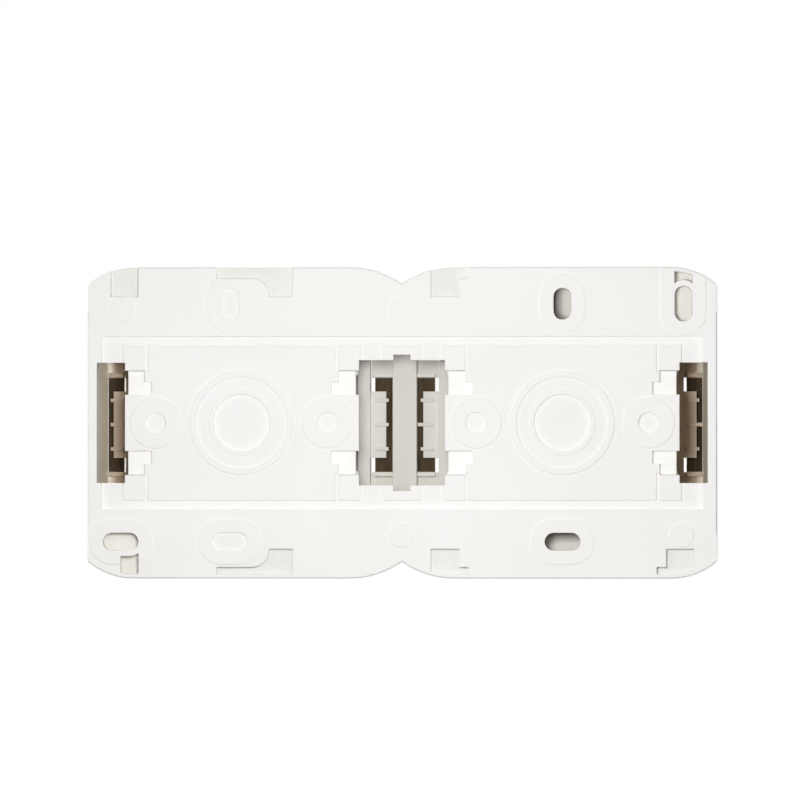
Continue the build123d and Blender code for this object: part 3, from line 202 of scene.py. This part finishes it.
def times(tree, first, second):
    """Multiplies two colours."""
    node = tree.nodes.new("ShaderNodeMixRGB")
    node.blend_type = "MULTIPLY"
    node.inputs["Fac"].default_value = 1.0
    tree.links.new(first, node.inputs["Color1"])
    tree.links.new(second, node.inputs["Color2"])
    return node.outputs["Color"]


def depth_share(tree, where):
    """How far a spot lies in front of the wall plane, as a share of FULL_DEPTH."""
    return span(tree, part_of(tree, where, "Y"), 0.0, 1.0, 0.0, -FULL_DEPTH)


def beyond(tree, where, axis, edge):
    """1 farther from the object's middle than an edge, along X or Z, and 0 nearer."""
    return span(tree, calc(tree, "ABSOLUTE", part_of(tree, where, axis)), 0.0, 1.0, *edge)


def within(tree, where, axis, edge):
    """1 nearer to the object's middle than an edge, along X or Z, and 0 farther."""
    return span(tree, calc(tree, "ABSOLUTE", part_of(tree, where, axis)), 1.0, 0.0, *edge)


def end_window(tree, where, deep, start, front):
    """1 in the cable windows at both ends, beyond the edge start and less deep than front, else 0."""
    return product(
        tree,
        beyond(tree, where, "X", start),
        within(tree, where, "Z", WINDOW_SPAN),
        span(tree, deep, 1.0, 0.0, *front),
    )


def tinted(tree, zone, tint):
    """White outside a zone and the tint inside it."""
    return ramp(tree, zone, [(0.0, WHITE), (1.0, tint)])


def bump(tree, height, strength, distance, normal=None):
    node = tree.nodes.new("ShaderNodeBump")
    node.inputs["Strength"].default_value = strength
    node.inputs["Distance"].default_value = distance
    tree.links.new(height, node.inputs["Height"])
    if normal is not None:
        tree.links.new(normal, node.inputs["Normal"])
    return node.outputs["Normal"]


def soft_edges(tree):
    """Shading of the small rounding that every moulded edge has."""
    edge = tree.nodes.new("ShaderNodeBevel")
    edge.samples = EDGE_SAMPLES
    edge.inputs["Radius"].default_value = EDGE_ROUND
    plain = tree.nodes.new("ShaderNodeNewGeometry")
    node = tree.nodes.new("ShaderNodeMix")
    node.data_type = "VECTOR"
    node.inputs["Factor"].default_value = EDGE_SHARE
    # The vector sockets of a Mix node: inputs 4 and 5, output 1.
    tree.links.new(plain.outputs["Normal"], node.inputs[4])
    tree.links.new(edge.outputs["Normal"], node.inputs[5])
    return node.outputs[1]


def plastic_surface(tree, shader, where, rough, grain, height):
    """Fine grain, soft edges and gloss of moulded plastic."""
    fine = noise(tree, where, grain, GRAIN_DETAIL)
    roughness = span(tree, fine, rough - PLASTIC_SPREAD, rough + PLASTIC_SPREAD)
    normal = bump(tree, fine, GRAIN_STRENGTH, height, soft_edges(tree))
    tree.links.new(roughness, shader.inputs["Roughness"])
    tree.links.new(normal, shader.inputs["Normal"])
    shader.inputs["IOR"].default_value = PLASTIC_IOR
    shader.inputs["Specular IOR Level"].default_value = PLASTIC_SPECULAR


def plastic(name, light, dark, rough, grain, height, end_shade_tint):
    """Moulded plastic: faint flow marks in the colour, fine grain on the surface."""
    mat, tree, shader = new_material(name)
    where = place(tree)
    cloud = noise(tree, where, FLOW_SCALE, FLOW_DETAIL)
    colour = marks(tree, cloud, linear(light), linear(dark))
    # Painted shade: the tongues deep in the end windows get the warm brown tint.
    if end_shade_tint is not None:
        zone = end_window(tree, where, depth_share(tree, where), TONGUE_ENDS, TONGUE_FRONT)
        colour = times(tree, colour, tinted(tree, zone, end_shade_tint))
    tree.links.new(colour, shader.inputs["Base Color"])
    plastic_surface(tree, shader, where, rough, grain, height)
    return mat


def milky_plastic(name):
    """The frame's plastic: painted light and shade by depth, painted warm shade in the end windows,
    and light that seeps through its end walls.
    """
    mat, tree, shader = new_material(name)
    where = place(tree)
    deep = depth_share(tree, where)
    fade = span(tree, deep, 0.0, 1.0, *END_FADE)
    # Painted shade: the walls and floors deep in the end windows get a warm brown tint.
    wall = product(
        tree,
        end_window(tree, where, deep, END_WINDOW, WALL_FRONT),
        within(tree, where, "X", WALL_SKIN),
        fade,
    )
    floor = product(
        tree,
        end_window(tree, where, deep, END_WINDOW, FLOOR_FRONT),
        within(tree, where, "X", FLOOR_SKIN),
        fade,
    )
    warm = tinted(tree, calc(tree, "MAXIMUM", wall, floor), END_SHADE_TINT)
    # Painted light and shade by depth: darker near the wall plane, lighter deep inside.
    tone = ramp(tree, deep, [(at, linear(colour)) for at, colour in FRAME_DEPTH_SHADING])
    cloud = noise(tree, where, FLOW_SCALE, FLOW_DETAIL)
    colour = times(tree, times(tree, tone, warm), marks(tree, cloud, WHITE, FRAME_MARK))
    tree.links.new(colour, shader.inputs["Base Color"])
    plastic_surface(tree, shader, where, FRAME_ROUGH, FRAME_GRAIN, FRAME_GRAIN_HEIGHT)
    seep = span(tree, beyond(tree, where, "X", SEEP_WALL), 0.0, SEEP_SHARE)
    tree.links.new(seep, shader.inputs["Subsurface Weight"])
    shader.inputs["Subsurface Radius"].default_value = SEEP_RADIUS
    shader.inputs["Subsurface Scale"].default_value = SEEP_SCALE
    return mat


def metal(name, light, dark, rough, stretch):
    """Sheet or turned metal with drawn streaks."""
    mat, tree, shader = new_material(name)
    mapping = tree.nodes.new("ShaderNodeMapping")
    mapping.inputs["Scale"].default_value = stretch
    tree.links.new(place(tree), mapping.inputs["Vector"])
    streak = noise(tree, mapping.outputs["Vector"], STREAK_SCALE, STREAK_DETAIL)
    colour = marks(tree, streak, linear(light), linear(dark))
    roughness = span(tree, streak, rough - METAL_SPREAD, rough + METAL_SPREAD)
    normal = bump(tree, streak, STREAK_STRENGTH, STREAK_HEIGHT)
    tree.links.new(colour, shader.inputs["Base Color"])
    tree.links.new(roughness, shader.inputs["Roughness"])
    tree.links.new(normal, shader.inputs["Normal"])
    shader.inputs["Metallic"].default_value = 1.0
    return mat


def background(tree, colour, strength):
    node = tree.nodes.new("ShaderNodeBackground")
    node.inputs["Color"].default_value = colour
    node.inputs["Strength"].default_value = strength
    return node.outputs["Background"]


def white_world():
    """White to the camera and in reflections, soft warm light for the object."""
    world = bpy.data.worlds.new("studio")
    bpy.context.scene.world = world
    world.use_nodes = True
    tree = world.node_tree
    tree.nodes.clear()
    out = tree.nodes.new("ShaderNodeOutputWorld")
    mix = tree.nodes.new("ShaderNodeMixShader")
    path = tree.nodes.new("ShaderNodeLightPath")
    seen = path.outputs["Is Camera Ray"]
    for ray in ("Is Glossy Ray", "Is Transmission Ray"):
        seen = calc(tree, "MAXIMUM", seen, path.outputs[ray])
    tree.links.new(seen, mix.inputs["Fac"])
    tree.links.new(background(tree, WORLD_COLOUR, WORLD_STRENGTH), mix.inputs[1])
    tree.links.new(background(tree, WHITE, BACKGROUND_STRENGTH), mix.inputs[2])
    tree.links.new(mix.outputs["Shader"], out.inputs["Surface"])


def put(name, data, pos, target):
    """Places a lamp or camera at pos, looking at target."""
    thing = bpy.data.objects.new(name, data)
    bpy.context.scene.collection.objects.link(thing)
    thing.location = pos
    look = Vector(target) - Vector(pos)
    thing.rotation_euler = look.to_track_quat("-Z", "Y").to_euler()
    return thing


def area_light(name, pos, side, power):
    data = bpy.data.lights.new(name, "AREA")
    data.shape = "RECTANGLE"
    data.size = side
    data.size_y = side
    data.energy = power
    put(name, data, pos, LAMP_TARGET)


finish = {row[0]: plastic(*row) for row in PLASTICS}
finish.update({row[0]: metal(*row) for row in METALS})
frame_plastic = milky_plastic("frame_plastic")
for part in frame["record"]["subparts"]:
    own = frame_plastic if part["node"] == "front_frame" else finish[part["material_slot"]]
    slots = nodes[part["node"]].data.materials
    slots.clear()
    slots.append(own)

white_world()
for lamp in LAMPS:
    area_light(*lamp)

camera = bpy.data.cameras.new("camera")
camera.lens = CAMERA_LENS
camera.clip_start = CAMERA_NEAR
bpy.context.scene.camera = put("camera", camera, CAMERA_POS, CAMERA_TARGET)
bpy.context.scene.view_settings.view_transform = "Standard"
